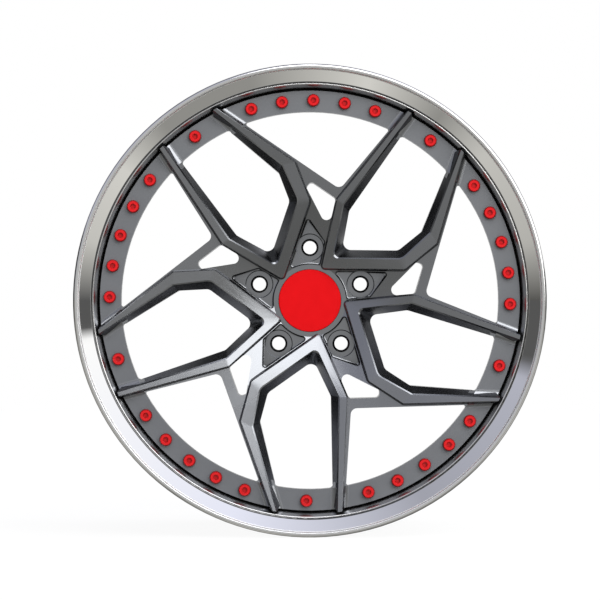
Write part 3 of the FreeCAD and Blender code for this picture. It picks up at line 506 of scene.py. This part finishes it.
# %% The room that the metal sees
# degrees round the axle from the left over the ground: 90 is down, 180 is right, 270 is up; then the level
BESIDE = ((0, .1), (15, .5), (40, .6), (55, .3), (75, .7), (105, .3), (130, .3), (145, .7), (165, .6),
          (180, .1), (187, .1), (190, 1.1), (250, .9), (300, .4), (340, .5), (345, .1))
AHEAD = ((0, .34), (53, .26), (125, .26), (165, .32), (200, .40), (280, .50), (340, .50), (360, .34))
EDGE_STRIP = ((0, .0), (180, .0), (190, 2.6), (245, 2.6), (262, .0), (360, .0))
ON_AXIS = (0.50, 0.50, 0.50, 1)
WARM, PLAIN, COOL = np.array((1.0, 0.985, 0.93)), np.ones(3), np.array((0.98, 1.0, 1.16))
GROUND_END, CEILING_START, CEILING_END = 180, 212, 343    # degrees
# how far a ray runs along the axle, from -1 at the camera to 1 at the backdrop, where each part fades in
AHEAD_FADE = (-0.40, -0.62)
AXIS_FADE = (-0.80, -0.93)
STRIP_FADES = ((-0.12, -0.05), (0.14, 0.07))
BACKDROP_FADE = (0.60, 0.85)


def tinted(table):
    """Ramp stops from (degrees, level) pairs: warm ground, cool ceiling, and plain walls at both sides."""
    tints = [WARM if at < GROUND_END else COOL if CEILING_START <= at < CEILING_END else PLAIN
             for at, level in table]
    return [(at / 360, (*map(float, level * tint), 1.0)) for (at, level), tint in zip(table, tints)]


def eye_rays(tree):
    """1 for rays that the eye sends out, straight or through something clear, and 0 for others."""
    rays = add(tree, "ShaderNodeLightPath").outputs
    seen = (rays["Is Camera Ray"], rays["Is Transmission Ray"])
    return add(tree, MATH, seen, operation="MAXIMUM").outputs[0]


world = bpy.data.worlds.new("studio room")
world.use_nodes = True
bpy.context.scene.world = world
tree = world.node_tree
tree.nodes.clear()
way = add(tree, "ShaderNodeTexCoord").outputs["Generated"]
xyz = add(tree, "ShaderNodeSeparateXYZ", {0: way}).outputs
turn = add(tree, MATH, (xyz["Z"], xyz["X"]), operation="ARCTAN2").outputs[0]
turn = add(tree, SPAN, (turn, -np.pi, np.pi)).outputs[0]
beside, ahead, strip = (stops(add(tree, RAMP, {"Fac": turn}), *tinted(table))
                        for table in (BESIDE, AHEAD, EDGE_STRIP))
forward = add(tree, SPAN, (xyz["Y"], *AHEAD_FADE)).outputs[0]
straight = add(tree, SPAN, (xyz["Y"], *AXIS_FADE)).outputs[0]
room = add(tree, MIX, (forward, beside, ahead)).outputs[0]
room = add(tree, MIX, (straight, room, ON_AXIS)).outputs[0]
low, high = (add(tree, SPAN, (xyz["Y"], *fade)).outputs[0] for fade in STRIP_FADES)
level_with = add(tree, MATH, (low, high), operation="MULTIPLY").outputs[0]
room = add(tree, MIX, (level_with, room, strip), blend_type="ADD").outputs[0]
backdrop = add(tree, SPAN, (xyz["Y"], *BACKDROP_FADE)).outputs[0]
glossy = add(tree, "ShaderNodeLightPath").outputs["Is Glossy Ray"]
mirrored = add(tree, MATH, (glossy, backdrop), operation="MULTIPLY").outputs[0]
plain = add(tree, MATH, (eye_rays(tree), mirrored), operation="MAXIMUM").outputs[0]
lit = add(tree, "ShaderNodeBackground", {"Color": room, "Strength": 1.0})
white = add(tree, "ShaderNodeBackground", {"Color": (1, 1, 1, 1), "Strength": 1.0})
seen = add(tree, "ShaderNodeMixShader", {"Fac": plain, 1: lit.outputs[0], 2: white.outputs[0]})
add(tree, "ShaderNodeOutputWorld", {"Surface": seen.outputs[0]})
print("room drawn with", len(tree.nodes), "nodes")

# %% [markdown]
# One long soft box up on the right does the modelling. The broad faces of the lower and left spokes lean
# towards it and shine, while the upper ones lean to the dim side of the room, as the photograph has
# them. It stands square to the wheel, with its long side bent round the axle's direction. The floor is
# a pale sheet under the tread. To the camera it is as white as the backdrop, but part of that
# white is its own shade in the light, so the wheel's shadow stays on it. The ground that the lip
# mirrors is the room's, with its strips, so the sheet is kept out of reflections.

# %% Soft box
BOX_SIZE = (3.0, 1.3)      # along and across the turn round the axle, in metres
BOX_LEVEL = 2.15           # how bright the box's face is, where 1 is plain white
WATTS_PER_LEVEL = 4        # for each square metre of its face
BOX_DISTANCE = 2.1
BOX_LEAN = np.radians(45)  # away from the axle
BOX_TURN = np.radians(54)  # round the axle from the right, upwards

sideways = np.array((np.cos(BOX_TURN), 0.0, np.sin(BOX_TURN)))
outward = np.sin(BOX_LEAN) * sideways + np.cos(BOX_LEAN) * np.array(FRONTWARDS)
along = np.array((-np.sin(BOX_TURN), 0.0, np.cos(BOX_TURN)))
axes = np.column_stack((along, np.cross(outward, along), outward))
box = bpy.data.lights.new("soft box", "AREA")
box.shape = "RECTANGLE"
box.size, box.size_y = BOX_SIZE
box.energy = WATTS_PER_LEVEL * BOX_LEVEL * BOX_SIZE[0] * BOX_SIZE[1]
lamp = bpy.data.objects.new("soft box", box)
lamp.location = BOX_DISTANCE * outward
lamp.rotation_euler = Matrix(axes.tolist()).to_euler()
lamp.visible_camera = False
bpy.context.scene.collection.objects.link(lamp)
print("soft box at", [round(float(v), 2) for v in lamp.location], "m")

# %% Floor
FLOOR_SIZE = 7.0
FLOOR_FIBRE = 30 * MM
FLOOR_SHADE = 0.18         # share of the floor's white that the shadow can take away
FLOOR_GLOW = 1.12          # makes up what the sheet's own shade lacks of full white

sheet, tree, shader = finish("pale studio floor", Roughness=0.9)
point = add(tree, "ShaderNodeTexCoord").outputs["Object"]
fibre = add(tree, NOISE, {"Vector": point, "Scale": 1 / FLOOR_FIBRE, "Detail": 4.0}).outputs["Fac"]
tone = stops(add(tree, RAMP, {"Fac": fibre}), (0.3, linear("#c2c1be")), (0.7, linear("#c9c8c5")))
tree.links.new(tone, shader.inputs["Base Color"])
glow = add(tree, "ShaderNodeEmission", {"Color": (1, 1, 1, 1), "Strength": FLOOR_GLOW})
shade = shader.outputs[0]
seen = add(tree, "ShaderNodeMixShader", {"Fac": 1 - FLOOR_SHADE, 1: shade, 2: glow.outputs[0]})
pale = add(tree, "ShaderNodeMixShader", {"Fac": eye_rays(tree), 1: shade, 2: seen.outputs[0]})
tree.links.new(pale.outputs[0], tree.nodes["Material Output"].inputs["Surface"])

floor_z = float(cad_box[0][2])
corners = np.array([(-1, -1), (1, -1), (1, 1), (-1, 1)]) * FLOOR_SIZE / 2
floor = new_piece("floor", np.column_stack((corners, np.full(4, floor_z))), [(0, 1, 2, 3)], sheet)
floor.visible_glossy = False
print("floor at", round(1000 * floor_z, 1), "mm")

# %% [markdown]
# Last comes the picture's own setting. The Standard view shows each colour as it was written.

# %% View setting and the end
bpy.context.scene.view_settings.view_transform = "Standard"
